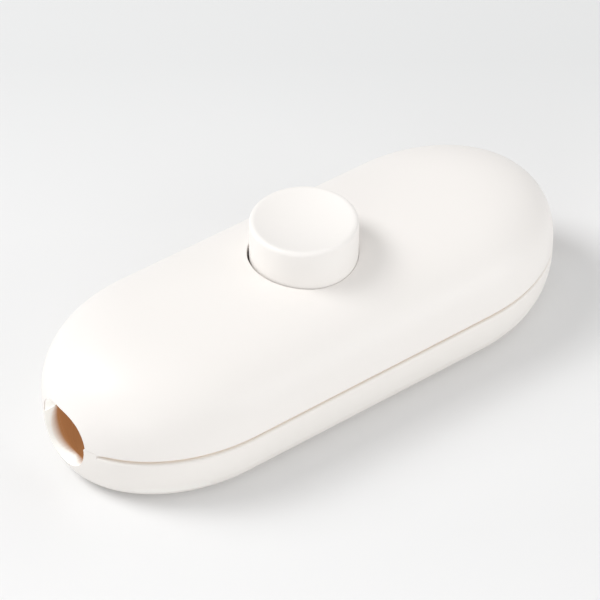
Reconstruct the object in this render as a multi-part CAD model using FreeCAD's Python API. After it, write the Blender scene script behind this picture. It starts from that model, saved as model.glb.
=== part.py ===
import FreeCAD, Part
import math
import os
from FreeCAD import Vector

# Inline cord switch: a domed cover and a base shell joined round a shadow gap, a dished push button
# and, inside, a rotary indexing switch, wire terminals and cord clamps.
# Millimetres. The origin is the centre of the rest face, +X runs along the cord and +Z is up.

# Outline shared by the two shells
body_length = 94.5
body_width = 38.0
end_reach = 24.0
seam_height = 10.4
foot_inset = 4.45
upright_wall = 1.5

# Dome of the cover, whose level lines shrink to a line along the crown
dome_rise = 12.4
crown_reach = 17.95
shoulder_power = 2.58
crown_power = 2.4

# Walls and the lap between the shells
base_wall = 2.3
base_floor = 2.3
inner_foot_inset = 2.6
cover_wall = 2.2
shadow_gap = 0.9
skirt_thickness = 0.8
tongue_clearance = 0.15
tongue_lap = 1.5
rim_round = 0.45

# Cord mouths, one at each end
mouth_radius = 5.45
mouth_drop = 0.9
mouth_land = 2.0
land_drop = 0.25

# Push button
button_radius = 8.67
button_stand = 6.4
button_wall = 1.4
button_rim_round = 0.85
button_rim_width = 1.1
button_dish_depth = 1.5
button_crown = 1.6
button_gap = 0.33
button_travel = 3.5
flange_width = 1.3
flange_thickness = 1.5
guide_wall = 2.0
guide_depth = 1.4
guide_gap = 0.1

# Indexing rotor and the plunger that turns it, four teeth each
index_angle = 45.0
tooth_count = 4
tooth_angle = 41.0
tooth_gap = 0.25
tooth_inner_radius = 2.6
tooth_outer_radius = 5.2
tooth_sections = 6
rotor_radius = 6.2
rotor_plate = 1.0
rotor_pin_radius = 1.5
rotor_pin_rise = 8.8
rotor_seat_radius = 3.4
rotor_seat_rise = 0.9
rotor_square = 4.4
notch_count = 8
notch_radius = 1.0
notch_depth = 0.4
running_gap = 0.1
part_gap = 0.3
press_gap = 0.05
spigot_length = 4.0

# Contacts
strip_width = 4.0
strip_thickness = 0.5
strip_rise = 0.7
rivet_radius = 1.0
rivet_circle = 5.4
rivet_rise = 0.9
bridge_thickness = 0.5
bridge_arm = 2.6
bridge_radius = 6.4
bridge_hub_radius = 3.6
bridge_spring_height = 1.5
bridge_spring_wire = 0.22
bridge_spring_turns = 2.0

# Mechanism housing, its lid, the button's spring and the detent spring
housing_inner_radius = 7.4
housing_wall = 1.0
housing_height = 10.1
lid_thickness = 1.0
lid_hole_gap = 0.4
lid_lip = 0.8
button_spring_radius = 6.2
button_spring_wire = 0.35
button_spring_turns = 5.5
detent_thickness = 0.3
detent_height = 1.6
detent_angle = 100.0
detent_nose_radius = 0.55
detent_wall_gap = 0.2

# Terminals
terminal_length = 6.5
terminal_width = 6.0
terminal_height = 6.4
terminal_offset = 2.1
wire_hole_radius = 1.4
terminal_screw_radius = 1.2
terminal_screw_head_radius = 1.9
terminal_screw_head = 1.4
terminal_screw_proud = 0.6
neutral_length = 14.0
neutral_width = 4.0
neutral_height = 6.0
neutral_rise = 3.0
neutral_screw_offset = 3.6
rib_thickness = 1.1
rib_height = 3.6

# Cord clamps
clamp_from_end = 10.2
clamp_length = 6.0
clamp_post_from_side = 11.5
clamp_post_radius = 2.8
clamp_seat_over_seam = 2.3
clamp_thickness = 2.0
clamp_ridge = 1.0
clamp_ridge_gap = 1.2
floor_ridge_height = 1.6
floor_ridge_width = 1.2
clamp_screw_radius = 1.2
clamp_screw_head_radius = 2.0
clamp_screw_head = 1.4
clamp_screw_length = 9.0

# Cover screws, driven from below
cover_screw_from_end = 21.7
cover_screw_from_side = 9.5
cover_screw_radius = 1.3
cover_screw_head_radius = 2.6
cover_screw_head = 1.9
cover_screw_length = 12.6
counterbore_depth = 4.0
counterbore_gap = 0.4
pillar_wall = 1.5
pillar_foot_height = 5.8
boss_radius = 3.0
screw_gap = 0.1
slot_width = 0.7
slot_depth = 0.8

# Ribs under the crown of the cover
crown_rib_length = 11.0
crown_rib_spacing = 9.0
crown_rib_depth = 1.6

# How finely the lofts follow their curves
coil_sides = 8
coil_steps = 16
dome_levels = 9
dome_top_turn = 88.0
foot_levels = 6
foot_start_turn = 12.0

# Places that follow from the sizes
half_length = body_length / 2
half_width = body_width / 2
straight_half = half_length - end_reach
crown_half = half_length - crown_reach
crown_height = seam_height + dome_rise
foot_rise = seam_height - upright_wall
rim_height = seam_height - shadow_gap
split_height = seam_height - land_drop
mouth_height = seam_height - mouth_drop
tongue_top = seam_height + tongue_lap

button_top = crown_height + button_stand
button_hole = button_radius + button_gap
button_underside = button_top - button_dish_depth - button_crown
guide_bottom = crown_height - cover_wall - guide_depth
flange_top = guide_bottom - guide_gap
flange_bottom = flange_top - flange_thickness
flange_radius = button_radius + flange_width
skirt_inner_radius = button_radius - button_wall

rotor_seat = base_floor + rotor_seat_rise
rotor_bottom = rotor_seat + press_gap
strip_bottom = base_floor + strip_rise
bridge_bottom = strip_bottom + strip_thickness + rivet_rise
bridge_top = bridge_bottom + bridge_thickness
plate_bottom = bridge_top + bridge_spring_height
plate_top = plate_bottom + rotor_plate
tooth_climb = button_travel * tooth_angle / index_angle
driver_tip = plate_top + part_gap + button_travel
rotor_ramp = driver_tip - tooth_gap
rotor_top = rotor_ramp + tooth_climb
driver_root = rotor_top + button_travel + part_gap
driver_inner_radius = tooth_inner_radius + part_gap
spigot_radius = driver_inner_radius - press_gap

housing_outer_radius = housing_inner_radius + housing_wall
housing_top = base_floor + housing_height
lid_top = housing_top + lid_thickness
lid_hole = tooth_outer_radius + lid_hole_gap

terminal_start = housing_outer_radius + terminal_offset
terminal_end = terminal_start + terminal_length
neutral_centre = -(housing_outer_radius + half_width - base_wall) / 2
clamp_x = half_length - clamp_from_end
clamp_post_spacing = body_width - 2 * clamp_post_from_side
clamp_seat = seam_height + clamp_seat_over_seam
clamp_ridge_width = clamp_post_spacing - 2 * (clamp_post_radius + clamp_ridge_gap)
cover_screw_x = half_length - cover_screw_from_end
cover_screw_y = half_width - cover_screw_from_side
counterbore_radius = cover_screw_head_radius + counterbore_gap
pillar_radius = counterbore_radius + pillar_wall
screw_places = [(cover_screw_x, cover_screw_y), (-cover_screw_x, -cover_screw_y)]
side_names = [("left", -1), ("right", 1)]


def box(x_low, x_high, y_low, y_high, z_low, z_high):
    """A block between two corners."""
    size = (x_high - x_low, y_high - y_low, z_high - z_low)
    return Part.makeBox(*size, Vector(x_low, y_low, z_low))


def cylinder(radius, z_low, z_high, x=0.0, y=0.0):
    """An upright cylinder."""
    return Part.makeCylinder(radius, z_high - z_low, Vector(x, y, z_low))


def tube(outer, inner, z_low, z_high, x=0.0, y=0.0):
    """An upright tube."""
    return cylinder(outer, z_low, z_high, x, y).cut(cylinder(inner, z_low, z_high, x, y))


def rod_along_x(radius, x_low, x_high, y, z):
    """A cylinder that lies along X."""
    return Part.makeCylinder(radius, x_high - x_low, Vector(x_low, y, z), Vector(1, 0, 0))


def plan(straight, reach, half, z):
    """A closed outline at one level: two straight sides and an elliptical quarter at each corner."""
    right = Part.Ellipse(Vector(straight, 0, z), reach, half)
    left = Part.Ellipse(Vector(-straight, 0, z), reach, half)
    quarter = math.pi / 2
    edges = [
        Part.Arc(right, 0, quarter),
        Part.LineSegment(Vector(straight, half, z), Vector(-straight, half, z)),
        Part.Arc(left, quarter, 2 * quarter),
        Part.Arc(left, 2 * quarter, 3 * quarter),
        Part.LineSegment(Vector(-straight, -half, z), Vector(straight, -half, z)),
        Part.Arc(right, 3 * quarter, 4 * quarter),
    ]
    return Part.Wire([edge.toShape() for edge in edges])


def shell_outline(inset, z):
    """The shells' common outline, pulled in by an inset all round."""
    return plan(straight_half, end_reach - inset, half_width - inset, z)


def prism(inset, z_low, z_high):
    """An upright solid on the shells' outline."""
    return Part.Face(shell_outline(inset, z_low)).extrude(Vector(0, 0, z_high - z_low))


def dome(inset, rise):
    """The domed solid above the seam, lofted through level lines that shrink towards the crown."""
    levels = []
    for step in range(dome_levels + 1):
        turn = math.radians(dome_top_turn * step / dome_levels)
        spread = math.cos(turn) ** (2 / shoulder_power)
        height = math.sin(turn) ** (2 / crown_power)
        straight = crown_half + (straight_half - crown_half) * spread
        reach = (end_reach - inset) * spread
        levels.append(plan(straight, reach, (half_width - inset) * spread, seam_height + rise * height))
    return Part.makeLoft(levels, True)


def foot(inset, z_low, rounding_inset):
    """The lower solid: a low upright edge, then an elliptical rounding lofted up to the upright wall."""
    levels = []
    start = math.radians(foot_start_turn)
    for step in range(foot_levels + 1):
        turn = start + (math.pi / 2 - start) * step / foot_levels
        pull = rounding_inset * (1 - math.sin(turn))
        rise = (foot_rise - z_low) * (1 - math.cos(turn))
        levels.append(shell_outline(inset + pull, z_low + rise))
    edge_inset = inset + rounding_inset * (1 - math.sin(start))
    edge_rise = (foot_rise - z_low) * (1 - math.cos(start))
    return Part.makeLoft(levels, True).fuse(prism(edge_inset, z_low, z_low + edge_rise))


def mouth_zone(z_low, z_high):
    """Blocks round both cord mouths, as wide as a mouth and its flush lands."""
    reach = mouth_radius + mouth_land
    inner = half_length - end_reach / 2
    outer = half_length + mouth_land
    left = box(-outer, -inner, -reach, reach, z_low, z_high)
    right = box(inner, outer, -reach, reach, z_low, z_high)
    return left.fuse(right)


def mouth_cutters():
    """The round cord holes through both end walls."""
    depth = end_reach / 4
    low = half_length - depth
    length = depth + mouth_land
    left = rod_along_x(mouth_radius, -low - length, -low, 0, mouth_height)
    right = rod_along_x(mouth_radius, low, low + length, 0, mouth_height)
    return [left, right]


def fuse_all(shapes):
    """One shape from many."""
    return shapes[0].multiFuse(shapes[1:]).removeSplitter()


def cut_all(shape, cutters):
    """A shape less many cutters."""
    return shape.cut(tuple(cutters))


def base_blank():
    """The base as an open tray with its tongue and the flush lands beside the mouths."""
    wall_top = Part.Face(shell_outline(0, foot_rise)).extrude(Vector(0, 0, rim_height - foot_rise))
    rim = [edge for edge in wall_top.Edges if abs(edge.BoundBox.ZMin - rim_height) < 1e-6]
    outer = foot(0, 0, foot_inset).fuse(wall_top.makeFillet(rim_round, rim))
    tongue_inset = skirt_thickness + tongue_clearance
    tongue = prism(tongue_inset, foot_rise, tongue_top).cut(mouth_zone(rim_height, tongue_top + 1))
    lands = prism(0, foot_rise, split_height).common(mouth_zone(foot_rise, split_height))
    cavity = foot(base_wall, base_floor, inner_foot_inset)
    well = prism(base_wall, foot_rise, tongue_top + 1)
    return outer.fuse(tongue).fuse(lands).cut(cavity.fuse(well))


def base_shell():
    """The base tray with its screw pillars, clamp posts, rotor pin, terminal ribs and cord ridges."""
    sink = base_floor / 2
    pieces = [base_blank()]
    holes = mouth_cutters()
    for x, y in screw_places:
        pieces.append(cylinder(pillar_radius, sink, base_floor + pillar_foot_height, x, y))
        pieces.append(cylinder(boss_radius, sink, split_height, x, y))
        holes.append(cylinder(counterbore_radius, -1, counterbore_depth, x, y))
        holes.append(cylinder(cover_screw_radius + part_gap, 0, split_height + 1, x, y))
    for name, side in side_names:
        x = side * clamp_x
        for y in (-clamp_post_spacing / 2, clamp_post_spacing / 2):
            pieces.append(cylinder(clamp_post_radius, sink, clamp_seat, x, y))
            depth = clamp_screw_length - clamp_thickness + 1
            holes.append(cylinder(clamp_screw_radius + screw_gap, clamp_seat - depth, clamp_seat + 1, x, y))
        for shift in (-clamp_length / 4, clamp_length / 4):
            low = x + shift - floor_ridge_width / 2
            reach = clamp_post_spacing / 2
            top = base_floor + floor_ridge_height
            pieces.append(box(low, low + floor_ridge_width, -reach, reach, sink, top))
        near, far = sorted((side * (terminal_start - press_gap), side * (terminal_end + press_gap)))
        half = terminal_width / 2 + press_gap
        for y in (-half - rib_thickness, half):
            pieces.append(box(near, far, y, y + rib_thickness, sink, base_floor + rib_height))
        strip_near, strip_far = sorted((side * (rivet_circle - rivet_radius), side * terminal_end))
        support = strip_width / 2 - part_gap
        pieces.append(box(strip_near, strip_far, -support, support, sink, strip_bottom))
        stop = side * (neutral_length / 2 + press_gap)
        low, high = sorted((stop, stop + side * rib_thickness))
        edge = neutral_width / 2
        top = base_floor + neutral_rise + rib_height
        pieces.append(box(low, high, neutral_centre - edge, neutral_centre + edge, sink, top))
    seat_reach = neutral_length / 2
    seat_half = neutral_width / 2
    seat_top = base_floor + neutral_rise
    pieces.append(box(-seat_reach, seat_reach, neutral_centre - seat_half, neutral_centre + seat_half,
                      sink, seat_top))
    pieces.append(cylinder(rotor_seat_radius, sink, rotor_seat))
    pieces.append(cylinder(rotor_pin_radius, sink, rotor_seat + rotor_pin_rise))
    return cut_all(fuse_all(pieces), holes)


def top_cover():
    """The domed cover with the button's guide ring, screw bosses, crown ribs and rebated skirt."""
    outer = dome(0, dome_rise)
    shell = outer.cut(dome(cover_wall, dome_rise - cover_wall))
    inner_parts = [cylinder(button_hole + guide_wall, guide_bottom, crown_height)]
    holes = [cylinder(button_hole, seam_height, crown_height + 1)] + mouth_cutters()
    for x, y in screw_places:
        inner_parts.append(cylinder(boss_radius, seam_height, crown_height, x, y))
        top = counterbore_depth + cover_screw_length + 1
        holes.append(cylinder(cover_screw_radius + screw_gap, split_height - 1, top, x, y))
    rib_start = button_hole + guide_wall / 2
    for x in (-rib_start - crown_rib_length, rib_start):
        for y in (-crown_rib_spacing / 2, crown_rib_spacing / 2):
            low = crown_height - cover_wall - crown_rib_depth
            half = rib_thickness / 2
            inner_parts.append(box(x, x + crown_rib_length, y - half, y + half, low, crown_height))
    inner = fuse_all(inner_parts).common(outer)
    feet = [cylinder(boss_radius, split_height, seam_height + 1, x, y) for x, y in screw_places]
    lands = prism(0, split_height, seam_height).cut(prism(cover_wall, split_height, seam_height))
    lands = lands.common(mouth_zone(split_height, seam_height))
    rebate = prism(skirt_thickness, seam_height, tongue_top + tongue_clearance)
    rebate = rebate.cut(prism(base_wall + tongue_clearance, seam_height, tongue_top + tongue_clearance))
    rebate = rebate.cut(mouth_zone(split_height, tongue_top + 1))
    whole = fuse_all([shell, inner, lands] + feet)
    return cut_all(whole, holes + [rebate])


def push_button():
    """The dished cap, its skirt, the flange that stops it under the cover and the plunger's spigot."""
    rim_inner = button_radius - button_rim_width
    dish_radius = (rim_inner ** 2 + button_dish_depth ** 2) / (2 * button_dish_depth)
    dish_mid = rim_inner / 2
    dish_drop = dish_radius - button_dish_depth
    mid_height = button_top + dish_drop - math.sqrt(dish_radius ** 2 - dish_mid ** 2)
    shoulder = button_rim_round * (1 - math.sqrt(0.5))
    corners = [
        (0, button_top - button_dish_depth),
        (0, button_underside - spigot_length),
        (spigot_radius, button_underside - spigot_length),
        (spigot_radius, button_underside),
        (skirt_inner_radius, button_underside),
        (skirt_inner_radius, flange_bottom),
        (flange_radius, flange_bottom),
        (flange_radius, flange_top),
        (button_radius, flange_top),
        (button_radius, button_top - button_rim_round),
    ]
    points = [Vector(x, 0, z) for x, z in corners]
    edges = [Part.makeLine(start, end) for start, end in zip(points, points[1:])]
    rim_top = Vector(button_radius - button_rim_round, 0, button_top)
    rim_mid = Vector(button_radius - shoulder, 0, button_top - shoulder)
    dish_edge = Vector(rim_inner, 0, button_top)
    edges.append(Part.Arc(points[-1], rim_mid, rim_top).toShape())
    edges.append(Part.makeLine(rim_top, dish_edge))
    edges.append(Part.Arc(dish_edge, Vector(dish_mid, 0, mid_height), points[0]).toShape())
    return Part.Face(Part.Wire(edges)).revolve(Vector(0, 0, 0), Vector(0, 0, 1), 360)


def ramp_tooth(start, inner, outer, flat, ramp):
    """A tooth with one level face and one helical face that climbs by the button's travel per index."""
    sections = []
    for step in range(tooth_sections + 1):
        share = step / tooth_sections
        angle = math.radians(start + tooth_angle * share)
        climb = ramp + tooth_climb * share
        low, high = min(flat, climb), max(flat, climb)
        out = Vector(math.cos(angle), math.sin(angle), 0)
        corners = [out * inner + Vector(0, 0, low), out * outer + Vector(0, 0, low),
                   out * outer + Vector(0, 0, high), out * inner + Vector(0, 0, high)]
        sections.append(Part.makePolygon(corners + corners[:1]))
    return Part.makeLoft(sections, True, True)


def tooth_ring(inner, flat, ramp):
    """The teeth of one half of the indexing drive."""
    pitch = 360.0 / tooth_count
    return [ramp_tooth(pitch * index, inner, tooth_outer_radius, flat, ramp) for index in range(tooth_count)]


def drive_plunger():
    """The tube under the button, with four legs whose helical ends turn the rotor."""
    barrel = tube(tooth_outer_radius, driver_inner_radius, driver_root, button_underside)
    legs = tooth_ring(driver_inner_radius, driver_root + press_gap, driver_tip)
    return fuse_all([barrel] + legs)


def index_rotor():
    """The rotor: a notched plate, four helical teeth, and a square hub that carries the bridge."""
    plate = cylinder(rotor_radius, plate_bottom, plate_top)
    hub = cylinder(tooth_inner_radius, plate_bottom, rotor_top)
    half = rotor_square / 2
    square = box(-half, half, -half, half, rotor_bottom, plate_top)
    teeth = tooth_ring(tooth_inner_radius - press_gap, plate_top - press_gap, rotor_ramp)
    body = fuse_all([plate, hub, square] + teeth)
    notches = []
    for index in range(notch_count):
        angle = math.radians(90.0 + 360.0 * index / notch_count)
        reach = rotor_radius - notch_depth + notch_radius
        notches.append(cylinder(notch_radius, plate_bottom - 1, plate_top + press_gap,
                                reach * math.cos(angle), reach * math.sin(angle)))
    bore = cylinder(rotor_pin_radius + running_gap, rotor_bottom - 1, rotor_top + 1)
    return cut_all(body, notches + [bore])


def contact_bridge():
    """The four-armed bridge that joins the two line contacts at every second index."""
    half = bridge_arm / 2
    square = (rotor_square + running_gap) / 2
    pieces = [
        cylinder(bridge_hub_radius, bridge_bottom, bridge_top),
        box(-bridge_radius, bridge_radius, -half, half, bridge_bottom, bridge_top),
        box(-half, half, -bridge_radius, bridge_radius, bridge_bottom, bridge_top),
    ]
    hole = box(-square, square, -square, square, bridge_bottom - 1, bridge_top + 1)
    rim = cylinder(bridge_radius, bridge_bottom, bridge_top)
    return fuse_all(pieces).common(rim).cut(hole)


def coil(mean_radius, wire_radius, turns, z_low, z_high):
    """A helical spring that fills the height between two seats, lofted through sections of its wire."""
    start = z_low + wire_radius
    height = z_high - z_low - 2 * wire_radius
    tilt = math.degrees(math.atan2(height, 2 * math.pi * mean_radius * turns))
    corners = []
    for corner in range(coil_sides + 1):
        angle = 2 * math.pi * corner / coil_sides
        corners.append(Vector(mean_radius + wire_radius * math.cos(angle), 0, wire_radius * math.sin(angle)))
    sections = []
    steps = round(coil_steps * turns)
    for step in range(steps + 1):
        section = Part.makePolygon(corners)
        section.rotate(Vector(0, 0, 0), Vector(1, 0, 0), tilt)
        section.rotate(Vector(0, 0, 0), Vector(0, 0, 1), 360.0 * turns * step / steps)
        section.translate(Vector(0, 0, start + height * step / steps))
        sections.append(section)
    return Part.makeLoft(sections, True, True)


def button_spring():
    """The spring between the mechanism's lid and the button."""
    return coil(button_spring_radius, button_spring_wire, button_spring_turns, lid_top, button_underside)


def bridge_spring():
    """The small spring that presses the bridge on the contacts."""
    radius = rotor_square / math.sqrt(2) + bridge_spring_wire + running_gap
    return coil(radius, bridge_spring_wire, bridge_spring_turns, bridge_top, plate_bottom)


def mechanism_housing():
    """The round wall that holds the mechanism, with a slot for each contact strip."""
    wall = tube(housing_outer_radius, housing_inner_radius, base_floor, housing_top)
    half = strip_width / 2 + running_gap
    reach = housing_outer_radius + 1
    top = strip_bottom + strip_thickness + part_gap
    return wall.cut(box(-reach, reach, -half, half, base_floor, top))


def mechanism_lid():
    """The lid of the housing, which seats the button's spring and guides the plunger."""
    plate = tube(housing_outer_radius, lid_hole, housing_top, lid_top)
    outer = housing_inner_radius - press_gap
    return plate.fuse(tube(outer, outer - lid_lip, housing_top - lid_lip, housing_top)).removeSplitter()


def detent_spring():
    """A curved leaf inside the housing, with a nose at the rotor's notches."""
    outer = housing_inner_radius - detent_wall_gap
    inner = outer - detent_thickness
    low = (plate_bottom + plate_top - detent_height) / 2
    ring = tube(outer, inner, low, low + detent_height)
    spread = math.radians(detent_angle / 2)
    reach = 2 * outer
    points = [Vector(0, 0, low), Vector(reach * math.sin(spread), reach * math.cos(spread), low),
              Vector(-reach * math.sin(spread), reach * math.cos(spread), low)]
    wedge = Part.Face(Part.makePolygon(points + points[:1])).extrude(Vector(0, 0, detent_height))
    centre = rotor_radius + running_gap + detent_nose_radius
    nose = cylinder(detent_nose_radius, low, low + detent_height, 0, centre)
    return ring.common(wedge).fuse(nose).removeSplitter()


def slotted_screw(radius, length, head_radius, head, x, y, seat, up=1):
    """A screw with a cheese head and a driver slot; up is 1 for a head on top, -1 for one below."""
    shank_low, shank_high = sorted((seat, seat - up * length))
    head_low, head_high = sorted((seat, seat + up * head))
    shank = cylinder(radius, shank_low, shank_high, x, y)
    cap = cylinder(head_radius, head_low, head_high, x, y)
    slot_low, slot_high = sorted((seat + up * (head - slot_depth), seat + up * (head + 1)))
    half = slot_width / 2
    slot = box(x - head_radius, x + head_radius, y - half, y + half, slot_low, slot_high)
    return shank.fuse(cap).removeSplitter().cut(slot)


def terminal_seat(top):
    """Where the underside of a terminal screw's head stands."""
    return top + terminal_screw_proud


def line_contact(side):
    """A line contact: rivet, strip and the block that clamps the wire."""
    rivet_x = side * rivet_circle
    strip_low, strip_high = sorted((side * (rivet_circle - rivet_radius), side * terminal_end))
    block_low, block_high = sorted((side * terminal_start, side * terminal_end))
    half = strip_width / 2
    edge = terminal_width / 2
    strip = box(strip_low, strip_high, -half, half, strip_bottom, strip_bottom + strip_thickness)
    rivet = cylinder(rivet_radius, strip_bottom, bridge_bottom, rivet_x, 0)
    top = strip_bottom + terminal_height
    block = box(block_low, block_high, -edge, edge, strip_bottom, top)
    middle = (block_low + block_high) / 2
    wire_height = strip_bottom + strip_thickness + wire_hole_radius + part_gap
    wire = rod_along_x(wire_hole_radius, block_low - 1, block_high + 1, 0, wire_height)
    thread = cylinder(terminal_screw_radius + screw_gap, wire_height, top + 1, middle, 0)
    return fuse_all([strip, rivet, block.cut(wire)]).cut(thread)


def line_screw(side):
    """The screw that holds the line wire."""
    x = side * (terminal_start + terminal_end) / 2
    top = strip_bottom + terminal_height
    wire_top = strip_bottom + strip_thickness + 2 * wire_hole_radius + part_gap
    seat = terminal_seat(top)
    return slotted_screw(terminal_screw_radius, seat - wire_top, terminal_screw_head_radius,
                         terminal_screw_head, x, 0, seat)


def neutral_connector():
    """The block that joins the neutral wires straight through."""
    low = base_floor + neutral_rise
    top = low + neutral_height
    reach = neutral_length / 2
    edge = neutral_width / 2
    block = box(-reach, reach, neutral_centre - edge, neutral_centre + edge, low, top)
    wire_height = low + wire_hole_radius + part_gap
    holes = [rod_along_x(wire_hole_radius, -reach - 1, reach + 1, neutral_centre, wire_height)]
    for x in (-neutral_screw_offset, neutral_screw_offset):
        holes.append(cylinder(terminal_screw_radius + screw_gap, wire_height, top + 1, x, neutral_centre))
    return cut_all(block, holes)


def neutral_screw(side):
    """A screw that holds a neutral wire."""
    top = base_floor + neutral_rise + neutral_height
    wire_top = base_floor + neutral_rise + 2 * wire_hole_radius + part_gap
    seat = terminal_seat(top)
    return slotted_screw(terminal_screw_radius, seat - wire_top, terminal_screw_head_radius,
                         terminal_screw_head, side * neutral_screw_offset, neutral_centre, seat)


def cord_clamp(side):
    """The bar that presses the cord on the floor ridges, with rounded ends and a gripping ridge."""
    x = side * clamp_x
    half = clamp_length / 2
    reach = clamp_post_spacing / 2
    top = clamp_seat + clamp_thickness
    bar = box(x - half, x + half, -reach, reach, clamp_seat, top)
    ends = [cylinder(half, clamp_seat, top, x, y) for y in (-reach, reach)]
    ridge_half = clamp_ridge_width / 2
    start = Vector(x, -ridge_half, clamp_seat)
    ridge = Part.makeCylinder(clamp_ridge, clamp_ridge_width, start, Vector(0, 1, 0))
    holes = [cylinder(clamp_screw_radius + screw_gap, clamp_seat - 1, top + 1, x, y) for y in (-reach, reach)]
    return cut_all(fuse_all([bar, ridge] + ends), holes)


def clamp_screw(side, y_side):
    """A screw that draws a cord clamp down on its post."""
    return slotted_screw(clamp_screw_radius, clamp_screw_length, clamp_screw_head_radius, clamp_screw_head,
                         side * clamp_x, y_side * clamp_post_spacing / 2, clamp_seat + clamp_thickness)


def cover_screw(side):
    """A screw that holds the cover, driven from below into its boss."""
    return slotted_screw(cover_screw_radius, cover_screw_length, cover_screw_head_radius, cover_screw_head,
                         side * cover_screw_x, side * cover_screw_y, counterbore_depth, -1)


nodes = {
    "base_shell": base_shell(),
    "top_cover": top_cover(),
    "push_button": push_button(),
    "drive_plunger": drive_plunger(),
    "button_spring": button_spring(),
    "mechanism_housing": mechanism_housing(),
    "mechanism_lid": mechanism_lid(),
    "detent_spring": detent_spring(),
    "index_rotor": index_rotor(),
    "contact_bridge": contact_bridge(),
    "bridge_spring": bridge_spring(),
    "neutral_connector": neutral_connector(),
}
for side_name, side_sign in side_names:
    nodes["line_contact_" + side_name] = line_contact(side_sign)
    nodes["line_screw_" + side_name] = line_screw(side_sign)
    nodes["neutral_screw_" + side_name] = neutral_screw(side_sign)
    nodes["cord_clamp_" + side_name] = cord_clamp(side_sign)
    nodes["clamp_screw_" + side_name + "_front"] = clamp_screw(side_sign, -1)
    nodes["clamp_screw_" + side_name + "_rear"] = clamp_screw(side_sign, 1)
    nodes["cover_screw_" + side_name] = cover_screw(side_sign)

os.makedirs("parts", exist_ok=True)
for node_name, shape in nodes.items():
    if len(shape.Solids) == 1:
        shape = shape.Solids[0]
    shape.exportStep("parts/" + node_name + ".step")
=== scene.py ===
import math

import bpy
import numpy as np
from mathutils import Matrix, Vector


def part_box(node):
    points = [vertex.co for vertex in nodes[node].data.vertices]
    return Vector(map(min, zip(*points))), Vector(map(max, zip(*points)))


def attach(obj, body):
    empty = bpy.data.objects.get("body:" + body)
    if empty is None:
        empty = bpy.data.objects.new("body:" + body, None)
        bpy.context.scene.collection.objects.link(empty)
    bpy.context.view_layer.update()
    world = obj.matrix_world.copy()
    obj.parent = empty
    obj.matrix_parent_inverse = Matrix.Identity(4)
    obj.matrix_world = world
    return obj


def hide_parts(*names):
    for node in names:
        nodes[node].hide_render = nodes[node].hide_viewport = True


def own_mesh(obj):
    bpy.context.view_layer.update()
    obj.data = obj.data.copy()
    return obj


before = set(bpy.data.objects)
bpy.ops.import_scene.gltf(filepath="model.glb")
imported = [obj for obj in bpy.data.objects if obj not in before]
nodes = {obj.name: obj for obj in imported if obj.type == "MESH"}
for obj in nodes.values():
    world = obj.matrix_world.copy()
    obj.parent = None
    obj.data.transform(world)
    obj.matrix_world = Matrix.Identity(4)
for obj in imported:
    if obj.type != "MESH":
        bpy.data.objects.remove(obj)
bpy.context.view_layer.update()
mm = 0.001


# Base shell: the rounded tray that stands on the table, injection moulded in warm white plastic with a
# satin grain. Its inner faces are brown with a painted glow, and its bores fade to brown in a painted shade.
# Two screws from below pull the cover down on it, and its tongue fits into the cover's rebate, where the
# seam's shade is painted in tan.

base_white = (0.89, 0.86, 0.825, 1.0)
# Painted shade: the tan below darkens the seam's gap, and the glow after it is a painted light that lightens
# it a little.
seam_painted_shade = (0.84, 0.75, 0.65, 1.0)
seam_glow = (0.095, 0.078, 0.062, 1.0)
inside_brown = (0.34, 0.155, 0.063, 1.0)
inside_share = 0.5
# Painted glows: emission on the mouths' rims, in the bores and on the inner faces, where no lamp shines, in
# place of the light that the wall lets through.
inside_glow = 0.74
glow_white = (0.85, 1.0, 1.0, 1.0)
rim_glow = 0.5
bore_glow = 0.33
skin_until = 0.02
rim_from = 0.15
white_until = 0.79
brown_from = 0.87
# Where the painted shade down a bore starts and ends, as shares of the wall, and how much sooner it comes
# low on the sides.
painted_shade_start = 0.75
painted_shade_end = 1.05
side_sooner = 0.6
side_fuller = 0.17
shade_turn = math.radians(38)
shade_spread = 1.8
seam_foot_shade = 0.6
seam_shade_climb = 1.7
plastic_ior = 1.49
grain_scale = 2600.0
grain_height = 0.03 * mm
half_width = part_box("base_shell")[1].y
straight_half = 23.25 * mm
end_reach = 24.0 * mm
foot_inset = 4.45 * mm
foot_rise = 8.9 * mm
floor_top = 2.2 * mm
rim_top = 9.5 * mm
tongue_top = 11.9 * mm
tongue_inset = 0.8 * mm
tongue_inner = 2.0 * mm
bore_start = 38.0 * mm
mouth_height = 9.5 * mm
mouth_radius = 5.45 * mm
land_half = 7.45 * mm
pocket_reach = 30.0 * mm
wall = 2.3 * mm
seam_margin = 0.5 * mm
touch = 0.05 * mm


def moulded_plastic(name, colour, roughness, grain):
    """A satin moulded plastic, whose grain is a slight bump from noise that is finer than a millimetre."""
    material = bpy.data.materials.new(name)
    material.use_nodes = True
    tree = material.node_tree
    shader = tree.nodes["Principled BSDF"]
    shader.inputs["Base Color"].default_value = colour
    shader.inputs["Roughness"].default_value = roughness
    shader.inputs["IOR"].default_value = plastic_ior
    place = tree.nodes.new("ShaderNodeTexCoord")
    noise = tree.nodes.new("ShaderNodeTexNoise")
    noise.inputs["Scale"].default_value = grain_scale
    noise.inputs["Detail"].default_value = 2.0
    bump = tree.nodes.new("ShaderNodeBump")
    bump.inputs["Strength"].default_value = grain
    bump.inputs["Distance"].default_value = grain_height
    tree.links.new(place.outputs["Object"], noise.inputs["Vector"])
    tree.links.new(noise.outputs["Fac"], bump.inputs["Height"])
    tree.links.new(bump.outputs["Normal"], shader.inputs["Normal"])
    return material


def depth_ramp(tree, depth, stops):
    """The colour along the depth. Each stop is a depth, a colour and the share of it that is taken."""
    node = tree.nodes.new("ShaderNodeValToRGB")
    while len(node.color_ramp.elements) < len(stops):
        node.color_ramp.elements.new(0.5)
    for element, (position, colour, share) in zip(node.color_ramp.elements, stops):
        element.position = position
        element.color = [channel * share for channel in colour[:3]] + [1.0]
    tree.links.new(depth, node.inputs["Fac"])
    return node.outputs["Color"]


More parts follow.
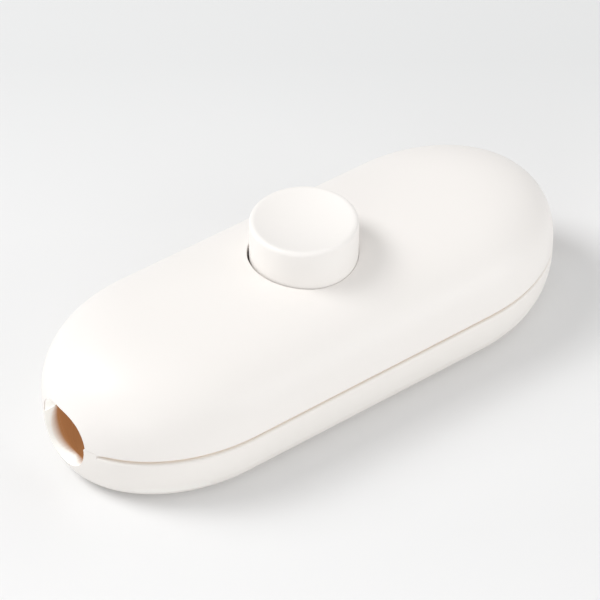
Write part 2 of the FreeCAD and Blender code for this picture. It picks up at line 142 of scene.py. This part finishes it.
def paint_depth_shade_and_glow(material):
    """Colours a shell's plastic by its attribute "depth": its own white on the skin, brown on the inner
    faces, a painted shade that fades from white to brown down the bores and a painted tan shade in the seam.
    Behind the skin it adds a painted glow, an emission that stands in for the light that the wall lets
    through."""
    tree = material.node_tree
    shader = tree.nodes["Principled BSDF"]
    white = tuple(shader.inputs["Base Color"].default_value)
    attribute = tree.nodes.new("ShaderNodeAttribute")
    attribute.attribute_name = "depth"
    depth = attribute.outputs["Fac"]
    colour = depth_ramp(tree, depth, [(white_until, white, 1.0), (brown_from, inside_brown, inside_share)])
    glow = depth_ramp(tree, depth, [(skin_until, white, 0.0), (rim_from, glow_white, rim_glow),
                                    (white_until, glow_white, bore_glow),
                                    (brown_from, inside_brown, inside_glow)])
    shade = tree.nodes.new("ShaderNodeMapRange")
    shade.inputs["From Min"].default_value = 0.0
    shade.inputs["From Max"].default_value = -1.0
    tree.links.new(depth, shade.inputs["Value"])
    # Below zero the depth blends the painted seam shade into the colour, and its painted glow into the
    # emission.
    for lit, shaded, target in ((colour, seam_painted_shade, "Base Color"), (glow, seam_glow, "Emission Color")):
        # The colours of a mix node are its inputs 6 and 7 and its output 2.
        mix = tree.nodes.new("ShaderNodeMix")
        mix.data_type = "RGBA"
        mix.inputs[7].default_value = shaded
        tree.links.new(shade.outputs["Result"], mix.inputs[0])
        tree.links.new(lit, mix.inputs[6])
        tree.links.new(mix.outputs[2], shader.inputs[target])
    shader.inputs["Emission Strength"].default_value = 1.0


def mark_depth(mesh, depth, domain):
    """Stores how far each point or face corner lies inside the skin, as a share of the wall's thickness.
    Where it is below zero, the seam's shade is painted."""
    attribute = mesh.attributes.new("depth", "FLOAT", domain)
    attribute.data.foreach_set("value", depth.astype(np.float32).ravel())


def plan_inset(x, y):
    """How far a point lies inside the shells' outline, whose ends are half ellipses: 1 less the point's
    radius as a share of the ellipse's, times the ellipse's reach."""
    along = np.maximum(np.abs(x) - straight_half, 0.0) / end_reach
    across = y / half_width
    share = np.hypot(along, across)
    reach = half_width + (end_reach - half_width) * along / np.maximum(share, 1e-9)
    return (1.0 - share) * reach


def foot_pull(z):
    """How far the rounded foot has drawn in at a height: foot_inset times 1 less the sine of the angle
    whose cosine is 1 less z over foot_rise."""
    cosine = np.clip(1.0 - z / foot_rise, 0.0, 1.0)
    return foot_inset * (1.0 - np.sqrt(1.0 - cosine ** 2))


def bore_depth(share, y, z):
    """The depth in a bore, which rises evenly with the share of the wall, from white_until where the painted
    shade starts to brown_from where it ends. Both come sooner low on the sides, by the cosine of
    shade_spread times the angle from shade_turn below them."""
    turn = np.arctan2(z - mouth_height, np.abs(y)) + shade_turn
    side = np.clip(np.cos(shade_spread * turn), 0.0, 1.0)
    start = painted_shade_start - side_sooner * side
    end = painted_shade_end - side_fuller * side
    return white_until + (brown_from - white_until) * (share - start) / (end - start)


def base_depth(x, y, z):
    """The depth of the base's face corners, one row for each face: the share of the wall inside the outline,
    0 on the underside and in its pockets, and below zero up the tongue, where the cover's shade is painted."""
    inset = plan_inset(x, y) - foot_pull(z)
    inward = np.clip(inset / wall, 0.0, 1.0)
    by_seam = (z > rim_top - seam_margin) & (np.abs(y) > land_half - touch) & (inset < tongue_inner)
    # Painted shade up the tongue, darker higher up, towards the cover's edge.
    shaded = -seam_foot_shade - seam_shade_climb * (z - rim_top) / (tongue_top - rim_top)
    depth = np.where(by_seam, np.where(inset > tongue_inset, shaded, 0.0), inward)
    underside = (z < floor_top) | ((np.abs(x) < pocket_reach) & (z < 2 * floor_top))
    depth = np.where(underside, 0.0, depth)
    off_bore = np.abs(np.hypot(y, z - mouth_height) - mouth_radius)
    on_bore = (np.abs(x) > bore_start) & (off_bore < touch)
    return np.where(on_bore.all(axis=1, keepdims=True), bore_depth(inward, y, z), depth)


def finish_node(name, material):
    """Gives a CAD node its finish."""
    nodes[name].data.materials.clear()
    nodes[name].data.materials.append(material)


base_mesh = nodes["base_shell"].data
points = np.empty(len(base_mesh.vertices) * 3, np.float32)
base_mesh.vertices.foreach_get("co", points)
corners = np.empty(len(base_mesh.loops), np.int32)
base_mesh.loops.foreach_get("vertex_index", corners)
# One row of three corners for each triangle.
x, y, z = points.reshape(-1, 3)[corners].T.reshape(3, -1, 3).astype(float)
mark_depth(base_mesh, base_depth(x, y, z), "CORNER")
base_plastic = moulded_plastic("base_plastic", base_white, roughness=0.45, grain=0.3)
paint_depth_shade_and_glow(base_plastic)
finish_node("base_shell", base_plastic)


# Cover: the domed upper shell, moulded in the same warm white plastic and held by two screws from below.
# Its surface is drawn from level lines, down to the mouths' round edges and up to the button's hole.

cover_white = (0.90, 0.87, 0.84, 1.0)
crown_half = 29.3 * mm
seam_height = 10.4 * mm
dome_rise = 12.4 * mm
shoulder_power = 2.58
crown_power = 2.4
cover_wall = 2.2 * mm
skirt_thickness = 0.8 * mm
skirt_height = 1.65 * mm
parting_height = 10.15 * mm
arch_half = 5.65 * mm
arch_rise = 5.4 * mm
arch_power = 2.5
hole_radius = 8.88 * mm
hole_centre = np.array([-0.07, 0.14]) * mm
guide_bottom = 19.2 * mm
guide_radius = 10.5 * mm
edge_round = 0.12 * mm
seam_drop = 0.4 * mm
seam_taper = 2.2 * mm
boss_radius = 3.0 * mm
pilot_radius = 1.4 * mm
boss_places = [(25.55 * mm, 9.5 * mm), (-25.55 * mm, -9.5 * mm)]
boss_sides = 32
rib_end = 21.0 * mm
rib_side = 4.5 * mm
rib_bottom = 19.0 * mm
rib_half = 0.55 * mm
bore_inner_depth = 0.6
bore_outer_depth = 0.3
outer_shoulder_turn = 1.0
inner_shoulder_turn = 0.82
past_land_angle = 0.0005
mouth_columns = 26
land_columns = 6
side_columns = 40
middle_columns = 22
outer_rows = 42
crown_rows = 34
edge_rows = 3
ceiling_rows = 24
inner_rows = 30
rebate_rows = 2
skirt_rows = 3
foot_rows = 2
sharp_angle = math.radians(35)


def level_at(height, rise):
    """The level line at a height over the seam, 1 at the upright wall and 0 along the crown:
    level to the shoulder power and height over rise to the crown power add up to 1."""
    return (1.0 - np.clip(height / rise, 0.0, 1.0) ** crown_power) ** (1.0 / shoulder_power)


def rise_turn(height, rise):
    """The turn up the dome's section at a height over the seam. Below the seam it goes on as an upright
    wall, one radian for each dome_rise."""
    turn = np.arcsin(np.clip(height / rise, 0.0, 1.0) ** (crown_power / 2.0))
    return np.where(height < 0.0, height / dome_rise, turn)


def dome_point(station, angle, turn, inset):
    """A point of the dome: a half ellipse at the end of a straight stretch, both of which shrink with the
    level. The level is the cosine and the height the sine of the turn, each to its own power."""
    rise = dome_rise - inset
    upper = np.maximum(turn, 0.0)
    level = np.cos(upper) ** (2.0 / shoulder_power)
    height = rise * np.sin(upper) ** (2.0 / crown_power) + dome_rise * np.minimum(turn, 0.0)
    x = (crown_half + (straight_half - crown_half) * level) * station
    x = x + (end_reach - inset) * level * np.cos(angle)
    y = (half_width - inset) * level * np.sin(angle)
    return np.stack([x, y, seam_height + height], axis=-1)


def dome_over(flat, inset):
    """The points of the dome over points of the plan. Over the crown's straight stretch the level is y
    over the half width. Past it, the level solves the ellipse's equation, a quadratic."""
    reach, half = end_reach - inset, half_width - inset
    shrink = straight_half - crown_half
    beyond = np.abs(flat[..., 0]) - crown_half
    a = (shrink / reach) ** 2 - 1.0
    b = -2.0 * beyond * shrink / reach ** 2
    c = (beyond / reach) ** 2 + (flat[..., 1] / half) ** 2
    curved = (-b - np.sqrt(np.maximum(b ** 2 - 4.0 * a * c, 0.0))) / (2.0 * a)
    level = np.where(beyond > shrink * curved, curved, np.abs(flat[..., 1]) / half)
    height = (dome_rise - inset) * (1.0 - level ** shoulder_power) ** (1.0 / crown_power)
    return np.concatenate([flat, (seam_height + height)[..., None]], axis=-1)


def blend_rows(start, end, count):
    """Rows of points in equal steps from one row to another, without the first."""
    share = np.linspace(0.0, 1.0, count + 1)[1:, None, None]
    return start + (end - start) * share


def round_rows(start, corner, end, count):
    """Rows round an edge: a parabola that leaves both faces smoothly, with its control at the corner."""
    share = np.linspace(0.0, 1.0, count + 1)[1:, None, None]
    return (1 - share) ** 2 * start + 2 * share * (1 - share) * corner + share ** 2 * end


def dome_rows(station, angle, start, stop, inset, count):
    """Rows up the dome's section, each column from its own turn to its own stop."""
    share = np.linspace(0.0, 1.0, count)[:, None]
    return dome_point(station, angle, start + (stop - start) * share, inset)


def arch_point(angle, grow):
    """Half breadth and height of the cover's arch over a mouth, an ellipse with fuller shoulders: the sine
    and the cosine of the angle, each to the power of 2 over arch_power."""
    half, rise = arch_half + grow, arch_rise + grow
    power = 2.0 / arch_power
    return half * np.cos(angle) ** power, mouth_height + rise * np.sin(angle) ** power


def quarter_columns():
    """The columns of one quarter, from the tip to the middle of the long side: angles round the mouth, half
    breadths along its land, angles along the end's ellipse and stations along the straight stretch."""
    lowest = math.asin(((parting_height - mouth_height) / arch_rise) ** (arch_power / 2.0))
    round_mouth = np.linspace(math.pi / 2, lowest, mouth_columns)
    land = np.linspace(arch_point(lowest, 0.0)[0], land_half, land_columns)[1:]
    first = math.asin(land_half / half_width) + past_land_angle
    side = np.linspace(first, math.pi / 2, side_columns)
    middle = np.linspace(1.0, 0.0, middle_columns)[1:]
    return round_mouth, land, side, middle


def cover_quarter():
    """The cover's closed section, row by row, over the columns of one quarter, and each row's depth. Columns
    over a mouth end on its arch, those on its land are flush, and the rest have a skirt over a rebate."""
    round_mouth, land, side, middle = quarter_columns()
    over_mouth = len(round_mouth)
    over_land = over_mouth + len(land)
    count = over_land + len(side) + len(middle)
    station = np.ones(count)
    station[-len(middle):] = middle
    column = np.arange(count)
    mouth = column < over_mouth
    flush = column < over_land
    around = np.zeros(count)
    around[:over_mouth] = round_mouth
    plain_y = np.full(count, half_width)
    plain_y[over_mouth:over_land] = land
    plain_y[over_land:over_land + len(side)] = half_width * np.sin(side)
    past_land = np.clip((plain_y - land_half) / seam_taper, 0.0, 1.0)
    plain_edge = np.where(flush, parting_height, parting_height - seam_drop * (1.0 - past_land) ** 2)

    def edge(lift, inset):
        """The turn and the angle of each column's lower edge, raised by a lift, on the dome drawn in by an
        inset."""
        arch_y, arch_z = arch_point(around, lift)
        height = np.where(mouth, arch_z, plain_edge + lift) - seam_height
        half = half_width - inset
        shrink = half / half_width
        bore_half = arch_point(around[over_mouth - 1], 0.0)[0]
        land_y = np.interp(plain_y, [bore_half, land_half], [bore_half, land_half * shrink])
        y = np.where(mouth, arch_y, np.where(flush, land_y, plain_y * shrink))
        level = level_at(height, dome_rise - inset)
        angle = np.arcsin(np.clip(y / (half * np.where(mouth, level, 1.0)), -1.0, 1.0))
        return rise_turn(height, dome_rise - inset), angle

    high_turn, high_angle = edge(edge_round, 0.0)
    corner_turn, corner_angle = edge(0.0, 0.0)
    corner = dome_point(station, corner_angle, corner_turn, 0.0)
    outer_shoulder = np.full(count, outer_shoulder_turn)
    outer = dome_rows(station, high_angle, high_turn, outer_shoulder, 0.0, outer_rows)
    direction = outer[-1, :, :2] / np.linalg.norm(outer[-1, :, :2], axis=-1, keepdims=True)
    rim = direction * (hole_radius + edge_round)
    crown = dome_over(blend_rows(outer[-1, :, :2], rim, crown_rows), 0.0)
    hole_corner = dome_over(direction * hole_radius, 0.0)
    hole_wall = hole_corner - [0.0, 0.0, edge_round]
    hole_edge = round_rows(crown[-1], hole_corner, hole_wall, edge_rows)
    hole_foot = np.hstack([direction * hole_radius, np.full((count, 1), guide_bottom)])
    guide_foot = np.hstack([direction * guide_radius, np.full((count, 1), guide_bottom)])
    guide_top = dome_over(direction * guide_radius, cover_wall)

    lip_turn, lip_angle = edge(0.0, cover_wall)
    lip_turn = np.where(flush, lip_turn, rise_turn(skirt_height, dome_rise - cover_wall))
    inner_shoulder = np.full(count, inner_shoulder_turn)
    inner = dome_rows(station, lip_angle, inner_shoulder, lip_turn, cover_wall, inner_rows)
    ceiling = dome_over(blend_rows(guide_top[:, :2], inner[0, :, :2], ceiling_rows), cover_wall)

    flush_column = flush[:, None]
    skirt_angle = np.where(flush, 0.0, high_angle)
    skirt_foot = dome_point(station, skirt_angle, np.zeros(count), 0.0)
    skirt_foot[:, 0] -= skirt_thickness * np.cos(skirt_angle)
    skirt_foot[:, 1] -= skirt_thickness * np.sin(skirt_angle)
    skirt_top = skirt_foot + [0.0, 0.0, skirt_height]
    flush_under = corner + (inner[-1] - corner) * edge_round / cover_wall
    skirt_under = corner + (skirt_foot - corner) * edge_round / skirt_thickness
    under = np.where(flush_column, flush_under, skirt_under)
    third = (under - inner[-1]) / 3.0
    skirt_top = np.where(flush_column, inner[-1] + third, skirt_top)
    skirt_foot = np.where(flush_column, inner[-1] + 2.0 * third, skirt_foot)

    rows = [outer, crown, hole_edge, hole_foot[None], guide_foot[None], guide_top[None], ceiling,
            inner[1:], blend_rows(inner[-1], skirt_top, rebate_rows),
            blend_rows(skirt_top, skirt_foot, skirt_rows), blend_rows(skirt_foot, under, foot_rows),
            round_rows(under, corner, outer[0], edge_rows)[:-1]]
    # The skin ends with the two rows at the guide's foot. The inside goes from the guide's top to the last
    # but one of the inner rows, and the lip starts with the last.
    skin = np.zeros(outer_rows + crown_rows + edge_rows + 2)
    inside = np.ones(1 + ceiling_rows + inner_rows - 2)
    # Round a mouth the lip's depths give it a painted glow; under a skirt, depths below zero take the
    # painted seam shade.
    through = np.linspace(bore_inner_depth, bore_outer_depth, rebate_rows + skirt_rows + foot_rows)
    shaded = np.concatenate([np.ones(rebate_rows), -np.ones(skirt_rows + foot_rows)])
    bore = np.concatenate([skin, inside, through, np.zeros(edge_rows)])
    lap = np.concatenate([skin, inside, shaded, np.zeros(edge_rows)])
    return np.concatenate(rows), np.where(mouth, bore[:, None], lap[:, None])


def mirrored(quarter, flip_x, flip_y):
    """A ring of columns from one quarter, mirrored to the other three by two sets of signs."""
    return np.concatenate([quarter, (quarter * flip_x)[:, -2::-1], (quarter * flip_x * flip_y)[:, 1:],
                           (quarter * flip_y)[:, -2:0:-1]], axis=1)


def beside_hole(rows):
    """How far each row of the section goes aside with the button's hole: evenly more over the crown and
    wholly down the hole's wall."""
    hole_rows = edge_rows + 1
    over_crown = np.linspace(0.0, 1.0, crown_rows + 1)[1:]
    rest = rows - outer_rows - crown_rows - hole_rows
    return np.concatenate([np.zeros(outer_rows), over_crown, np.ones(hole_rows), np.zeros(rest)])


def wrapped(grid):
    """The points and faces of a grid that closes on itself along its rows and along its columns."""
    rows, columns = grid.shape[:2]
    row, column = np.meshgrid(np.arange(rows), np.arange(columns), indexing="ij")
    after_row, after_column = (row + 1) % rows, (column + 1) % columns
    faces = np.stack([row * columns + column, row * columns + after_column,
                      after_row * columns + after_column, after_row * columns + column], axis=-1)
    return grid.reshape(-1, 3), faces.reshape(-1, 4)


def cover_boss(x, y):
    """The tube that a cover screw bites into, from the parting up into the dome's wall."""
    turn = np.linspace(0.0, 2.0 * math.pi, boss_sides + 1)[:-1]
    direction = np.stack([np.cos(turn), np.sin(turn)], axis=-1)
    wide, narrow = direction * boss_radius + [x, y], direction * pilot_radius + [x, y]
    foot = np.full((boss_sides, 1), parting_height)
    return wrapped(np.stack([np.hstack([narrow, foot]), np.hstack([wide, foot]),
                             dome_over(wide, cover_wall / 2), dome_over(narrow, cover_wall / 2)]))


def crown_rib(x, y):
    """A rib under the crown, from the button's guide outwards, sunk into the dome's wall."""
    near, low, high = x * guide_radius / abs(x), y - rib_half, y + rib_half
    flat = np.array([(near, low), (x, low), (x, high), (near, high)])
    turned = flat if x > 0 else flat[::-1]
    foot = np.hstack([turned, np.full((4, 1), rib_bottom)])
    faces = np.array([(0, 3, 2, 1), (4, 5, 6, 7), (0, 1, 5, 4), (1, 2, 6, 5), (2, 3, 7, 6), (3, 0, 4, 7)])
    return np.concatenate([foot, dome_over(turned, cover_wall / 2)]), faces


def placed_mesh(name, points, faces):
    """A smooth object with its sharper edges kept."""
    mesh = bpy.data.meshes.new(name)
    mesh.from_pydata(points, [], faces)
    mesh.polygons.foreach_set("use_smooth", np.ones(len(mesh.polygons), bool))
    mesh.set_sharp_from_angle(angle=sharp_angle)
    placed = bpy.data.objects.new(name, mesh)
    bpy.context.scene.collection.objects.link(placed)
    return placed


quarter, depth = cover_quarter()
shell = mirrored(quarter, np.array([-1.0, 1.0, 1.0]), np.array([1.0, -1.0, 1.0]))
shell[..., :2] += hole_centre * beside_hole(len(shell))[:, None, None]
depth = mirrored(depth, 1.0, 1.0)
bosses = [cover_boss(x, y) for x, y in boss_places]
ribs = [crown_rib(x * rib_end, y * rib_side) for x in (-1, 1) for y in (-1, 1)]
pieces = [wrapped(shell)] + bosses + ribs
starts = np.cumsum([0] + [len(points) for points, faces in pieces])
cover = placed_mesh("cover", np.concatenate([points for points, faces in pieces]),
                    np.concatenate([faces + start for (points, faces), start in zip(pieces, starts)]))
inner_count = starts[-1] - starts[1]
mark_depth(cover.data, np.concatenate([depth.ravel(), np.ones(inner_count)]), "POINT")
cover_plastic = moulded_plastic("cover_plastic", cover_white, roughness=0.42, grain=0.3)
# The same painted seam shade under the skirt and painted glow round the mouths and inside.
paint_depth_shade_and_glow(cover_plastic)
cover.data.materials.append(cover_plastic)
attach(cover, "shell")
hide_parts("top_cover")


# Push button: the dished cap that stands out of the crown, moulded in a slightly lighter white. A flange
# under the cover keeps it in, and its spigot carries the drive plunger. It leans aside a little by its
# play in the hole.

button_white = (0.91, 0.882, 0.852, 1.0)
button_radius = 8.66 * mm
button_lean = np.array([0.05, -0.04, 0.0]) * mm
button_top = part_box("push_button")[1].z
rim_radius = 0.7 * mm
dish_slope = math.radians(22.4)
flange_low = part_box("push_button")[0].z
flange_high = flange_low + 1.5 * mm
flange_reach = 9.97 * mm
skirt_inner = 7.27 * mm
cap_underside = button_top - 3.1 * mm
spigot_radius = 2.85 * mm
spigot_foot = cap_underside - 4.0 * mm
dish_points = 22
rim_points = 16
button_sides = 144


def button_profile():
    """Radius and height down the cap's section. The dish is an arc that meets the rim's round at its slope,
    and the round goes on over the crest until it is upright."""
    crest = button_radius - rim_radius
    edge = crest - rim_radius * math.sin(dish_slope)
    dish_radius = edge / math.sin(dish_slope)
    edge_height = button_top - rim_radius * (1.0 - math.cos(dish_slope))
    slope = np.linspace(0.0, dish_slope, dish_points)[1:]
    dish_height = edge_height + dish_radius * (math.cos(dish_slope) - np.cos(slope))
    dish = np.stack([dish_radius * np.sin(slope), dish_height], axis=-1)
    turn = np.linspace(math.pi / 2 + dish_slope, 0.0, rim_points)[1:]
    rim_height = button_top - rim_radius + rim_radius * np.sin(turn)
    rim = np.stack([crest + rim_radius * np.cos(turn), rim_height], axis=-1)
    below = [(button_radius, flange_high), (flange_reach, flange_high), (flange_reach, flange_low),
             (skirt_inner, flange_low), (skirt_inner, cap_underside), (spigot_radius, cap_underside),
             (spigot_radius, spigot_foot)]
    middle = edge_height + dish_radius * (math.cos(dish_slope) - 1.0)
    return np.concatenate([dish, rim, below]), middle


def ring_faces(rows, sides):
    """The faces between rows of rings, then the two fans that close the first ring and the last on the two
    points stored after the rings."""
    row, side = np.meshgrid(np.arange(rows - 1), np.arange(sides), indexing="ij")
    after = (side + 1) % sides
    between = np.stack([row * sides + side, (row + 1) * sides + side, (row + 1) * sides + after,
                        row * sides + after], axis=-1)
    side, after = side[0], after[0]
    last = (rows - 1) * sides
    first_cap = np.stack([np.full(sides, rows * sides), side, after], axis=-1)
    last_cap = np.stack([np.full(sides, rows * sides + 1), last + after, last + side], axis=-1)
    return between.reshape(-1, 4).tolist() + first_cap.tolist() + last_cap.tolist()


def revolved(profile, first, last, sides):
    """A profile turned about the upright axis, closed by a point on the axis above and below."""
    turn = np.linspace(0.0, 2.0 * math.pi, sides + 1)[:-1]
    radius, height = profile[:, :1], profile[:, 1:]
    grid = np.stack([radius * np.cos(turn), radius * np.sin(turn), height + 0.0 * turn], axis=-1)
    points = np.concatenate([grid.reshape(-1, 3), [(0.0, 0.0, first), (0.0, 0.0, last)]])
    return points, ring_faces(len(profile), sides)


profile, dish_middle = button_profile()
cap_points, cap_faces = revolved(profile, dish_middle, spigot_foot, button_sides)
above = (cap_points[:, 2:] - flange_high) / (button_top - flange_high)
cap = placed_mesh("button_cap", cap_points + button_lean * np.maximum(above, 0.0), cap_faces)
button_plastic = moulded_plastic("button_plastic", button_white, roughness=0.4, grain=0.2)
cap.data.materials.append(button_plastic)
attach(cap, "button")
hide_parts("push_button")


# Button spring: the coil that lifts the button, wound from spring steel wire. It stands on the housing's
# lid round the drive plunger and presses up under the cap. It shortens with the stroke, but this coil is
# drawn at one length, between the ends of the button_spring part.

spring_grey = (0.50, 0.50, 0.52, 1.0)
wire_radius = 0.35 * mm
spring_radius = 6.2 * mm
spring_turns = 5.5
coil_rings = 265
wire_sides = 16
wander_scale = 900.0
wander_share = 0.3


def coil(low, high):
    """A wire wound at an even pitch between two heights: a ring of wire points, level with the radius and
    upright, carried round the helix and closed at both ends by a point."""
    turn = np.linspace(0.0, 2.0 * math.pi * spring_turns, coil_rings)[:, None]
    ring = np.linspace(0.0, 2.0 * math.pi, wire_sides + 1)[None, :-1]
    out = spring_radius + wire_radius * np.cos(ring)
    height = low + wire_radius + (high - low - 2 * wire_radius) * turn / turn[-1]
    grid = np.stack([out * np.cos(turn), out * np.sin(turn), height + wire_radius * np.sin(ring)], axis=-1)
    points = np.concatenate([grid.reshape(-1, 3), grid.mean(axis=1)[[0, -1]]])
    return points, ring_faces(coil_rings, wire_sides)


def drawn_metal(name, colour, roughness):
    """A plain metal, whose roughness wanders a little with noise of about a millimetre."""
    material = bpy.data.materials.new(name)
    material.use_nodes = True
    tree = material.node_tree
    shader = tree.nodes["Principled BSDF"]
    shader.inputs["Base Color"].default_value = colour
    shader.inputs["Metallic"].default_value = 1.0
    place = tree.nodes.new("ShaderNodeTexCoord")
    noise = tree.nodes.new("ShaderNodeTexNoise")
    noise.inputs["Scale"].default_value = wander_scale
    wander = tree.nodes.new("ShaderNodeMapRange")
    wander.inputs["To Min"].default_value = (1.0 - wander_share) * roughness
    wander.inputs["To Max"].default_value = (1.0 + wander_share) * roughness
    tree.links.new(place.outputs["Object"], noise.inputs["Vector"])
    tree.links.new(noise.outputs["Fac"], wander.inputs["Value"])
    tree.links.new(wander.outputs["Result"], shader.inputs["Roughness"])
    return material


spring_low, spring_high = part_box("button_spring")
spring_points, spring_faces = coil(spring_low.z, spring_high.z)
spring_coil = placed_mesh("spring_coil", spring_points, spring_faces)
spring_steel = drawn_metal("spring_steel", spring_grey, roughness=0.3)
spring_coil.data.materials.append(spring_steel)
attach(spring_coil, "shell")
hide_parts("button_spring")
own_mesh(spring_coil)


# Drive plunger and rotor: the two toothed pieces that turn each stroke into an eighth of a turn, moulded
# in ivory nylon. The plunger is pressed on the cap's spigot and the rotor stands on a pin of the base.

nylon_ivory = (0.80, 0.74, 0.60, 1.0)

ivory_nylon = moulded_plastic("ivory_nylon", nylon_ivory, roughness=0.5, grain=0.15)
for name in ("drive_plunger", "index_rotor"):
    finish_node(name, ivory_nylon)


# Mechanism housing, lid and cord clamps: the round housing of the mechanism, its lid and the two bars that
# hold the cord, moulded in brown phenolic with a stronger grain. They are screwed or set into the base.

phenolic_brown = (0.12, 0.045, 0.018, 1.0)

brown_phenolic = moulded_plastic("brown_phenolic", phenolic_brown, roughness=0.55, grain=0.6)
for name in ("mechanism_housing", "mechanism_lid", "cord_clamp_left", "cord_clamp_right"):
    finish_node(name, brown_phenolic)


# Contacts: the line contacts with their rivets, the bridge that joins them and the neutral connector, all
# of brass. Strips and bridge are stamped, and the blocks that take the wires are machined.

brass_yellow = (0.78, 0.57, 0.25, 1.0)

brass = drawn_metal("brass", brass_yellow, roughness=0.28)
for name in ("contact_bridge", "line_contact_left", "line_contact_right", "neutral_connector"):
    finish_node(name, brass)


# Small springs: the coil that presses the bridge on the contacts, and the leaf in the housing whose nose
# drops into the rotor's notches. Both are made of the same spring steel as the button's coil.

for name in ("bridge_spring", "detent_spring"):
    finish_node(name, spring_steel)


# Screws: slotted cheese head screws of zinc plated steel, driven from above into the terminals and the
# clamps' posts, and from below into the cover's bosses.

zinc_grey = (0.62, 0.61, 0.60, 1.0)

plated_steel = drawn_metal("plated_steel", zinc_grey, roughness=0.32)
for name in nodes:
    if "screw" in name:
        finish_node(name, plated_steel)


# Table, light and camera: a pale matt table with a painted falloff of light, lighter towards the camera and
# darker away from it, two soft round lamps at the upper left and two low in front, and a long lens along the
# photograph's line of sight.

floor_size = 3.0
# Painted light and shade: the table's colour is lighter near the camera and darker far from it.
painted_floor_near = (0.893, 0.893, 0.893, 1.0)
painted_floor_mid = (0.85, 0.85, 0.85, 1.0)
painted_floor_far = (0.775, 0.78, 0.78, 1.0)
floor_roughness = 0.9
away_direction = (0.595, 0.804, 0.0)
away_reach = 0.08
mid_shares = (0.25, 0.7)
world_light = 0.622

floor_mesh = bpy.data.meshes.new("table")
floor_mesh.from_pydata([(-floor_size, -floor_size, 0), (floor_size, -floor_size, 0),
                        (floor_size, floor_size, 0), (-floor_size, floor_size, 0)], [], [(0, 1, 2, 3)])
floor = bpy.data.objects.new("table", floor_mesh)
bpy.context.scene.collection.objects.link(floor)
floor_material = bpy.data.materials.new("table")
floor_material.use_nodes = True
floor_tree = floor_material.node_tree
floor_shader = floor_tree.nodes["Principled BSDF"]
floor_shader.inputs["Roughness"].default_value = floor_roughness
floor_place = floor_tree.nodes.new("ShaderNodeTexCoord")
away = floor_tree.nodes.new("ShaderNodeVectorMath")
away.operation = "DOT_PRODUCT"
away.inputs[1].default_value = away_direction
reach = floor_tree.nodes.new("ShaderNodeMapRange")
reach.inputs["From Min"].default_value = -away_reach
reach.inputs["From Max"].default_value = away_reach
painted_falloff = floor_tree.nodes.new("ShaderNodeValToRGB")
painted_falloff.color_ramp.elements[0].color = painted_floor_near
painted_falloff.color_ramp.elements[1].color = painted_floor_far
for share in mid_shares:
    painted_falloff.color_ramp.elements.new(share).color = painted_floor_mid
floor_tree.links.new(floor_place.outputs["Object"], away.inputs[0])
floor_tree.links.new(away.outputs["Value"], reach.inputs["Value"])
floor_tree.links.new(reach.outputs["Result"], painted_falloff.inputs["Fac"])
floor_tree.links.new(painted_falloff.outputs["Color"], floor_shader.inputs["Base Color"])
floor_mesh.materials.append(floor_material)

world = bpy.data.worlds.new("studio")
bpy.context.scene.world = world
world.use_nodes = True
background = world.node_tree.nodes["Background"]
background.inputs["Color"].default_value = (1.0, 1.0, 1.0, 1.0)
background.inputs["Strength"].default_value = world_light


def softbox(name, place, size, energy):
    """A round soft light that faces the object."""
    lamp = bpy.data.lights.new(name, "AREA")
    lamp.shape = "DISK"
    lamp.size = size
    lamp.energy = energy
    light = bpy.data.objects.new(name, lamp)
    light.matrix_world = Matrix.Translation(place) @ place.to_track_quat("Z", "Y").to_matrix().to_4x4()
    bpy.context.scene.collection.objects.link(light)


softbox("key", Vector((-0.43, 0.33, 0.75)), size=0.40, energy=2.34)
softbox("back key", Vector((-0.450, 0.491, 0.643)), size=0.40, energy=1.88)
softbox("fill", Vector((0.55, -0.80, 0.22)), size=0.60, energy=2.53)
softbox("side fill", Vector((-0.75, -0.55, 0.35)), size=0.50, energy=0.99)

view_azimuth = math.radians(-36.353)
view_elevation = math.radians(40.971)
view_roll = math.radians(-0.543)
view_distance = 0.51297
view_target = Vector((0.001149, 0.002696, 0.01))
sensor_width = 36.0
focal_pixels = 3182.8
picture_pixels = 600.0

back = Vector((math.sin(view_azimuth) * math.cos(view_elevation),
               -math.cos(view_azimuth) * math.cos(view_elevation), math.sin(view_elevation)))
across = Vector((0, 0, 1)).cross(back).normalized()
upward = back.cross(across)
right = math.cos(view_roll) * across + math.sin(view_roll) * upward
overhead = math.cos(view_roll) * upward - math.sin(view_roll) * across
camera_data = bpy.data.cameras.new("camera")
camera_data.sensor_width = sensor_width
camera_data.lens = sensor_width * focal_pixels / picture_pixels
camera_data.clip_start = 0.01
camera_data.clip_end = 10.0
camera = bpy.data.objects.new("camera", camera_data)
camera.matrix_world = (Matrix.Translation(view_target + view_distance * back)
                       @ Matrix((right, overhead, back)).transposed().to_4x4())
bpy.context.scene.collection.objects.link(camera)
bpy.context.scene.camera = camera
bpy.context.scene.view_settings.view_transform = "Standard"
